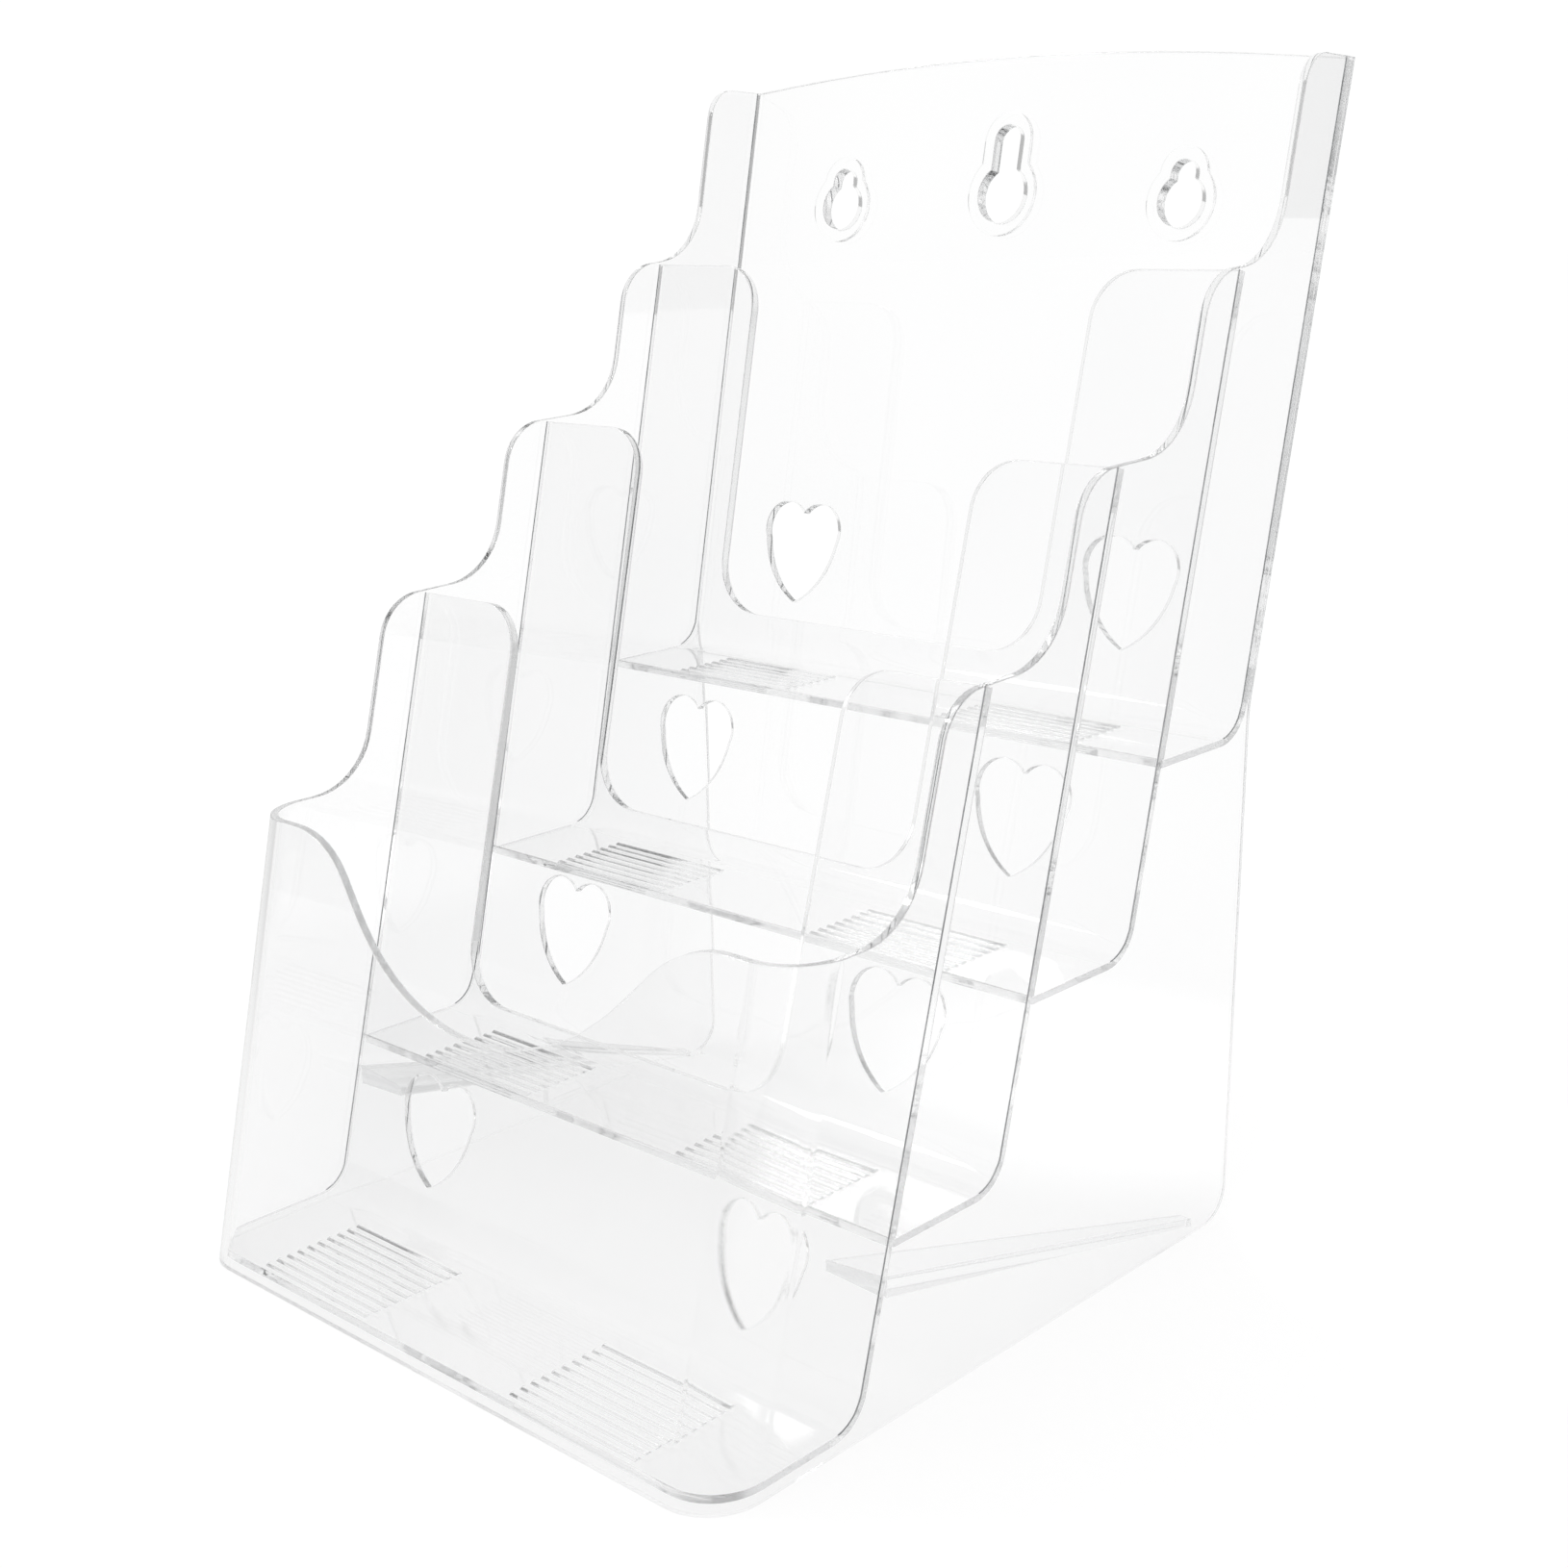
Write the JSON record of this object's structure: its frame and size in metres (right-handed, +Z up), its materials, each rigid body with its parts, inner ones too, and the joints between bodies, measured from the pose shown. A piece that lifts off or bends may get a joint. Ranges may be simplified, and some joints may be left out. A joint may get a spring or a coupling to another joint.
{
  "type": "brochure rack",
  "caption": "Clear plastic brochure rack with tiered, backward-leaning pockets, U-shaped cut-outs, heart-shaped holes and keyhole hangers.",
  "frame": {"origin": "centre of the bounding box in plan, on the surface that the rack stands on", "axes": "+X to the right as seen from the front, +Y from the front to the back, +Z up"},
  "size_m": [0.1728, 0.1992, 0.2581],
  "materials": {
    "clear_plastic": "polished, colourless and clear"
  },
  "bodies": {
    "root": {"body_shell": "clear_plastic", "pocket_sheet_1": "clear_plastic", "pocket_sheet_2": "clear_plastic", "pocket_sheet_3": "clear_plastic", "back_sheet": "clear_plastic", "left_brace": "clear_plastic", "right_brace": "clear_plastic"}
  },
  "joints": []
}
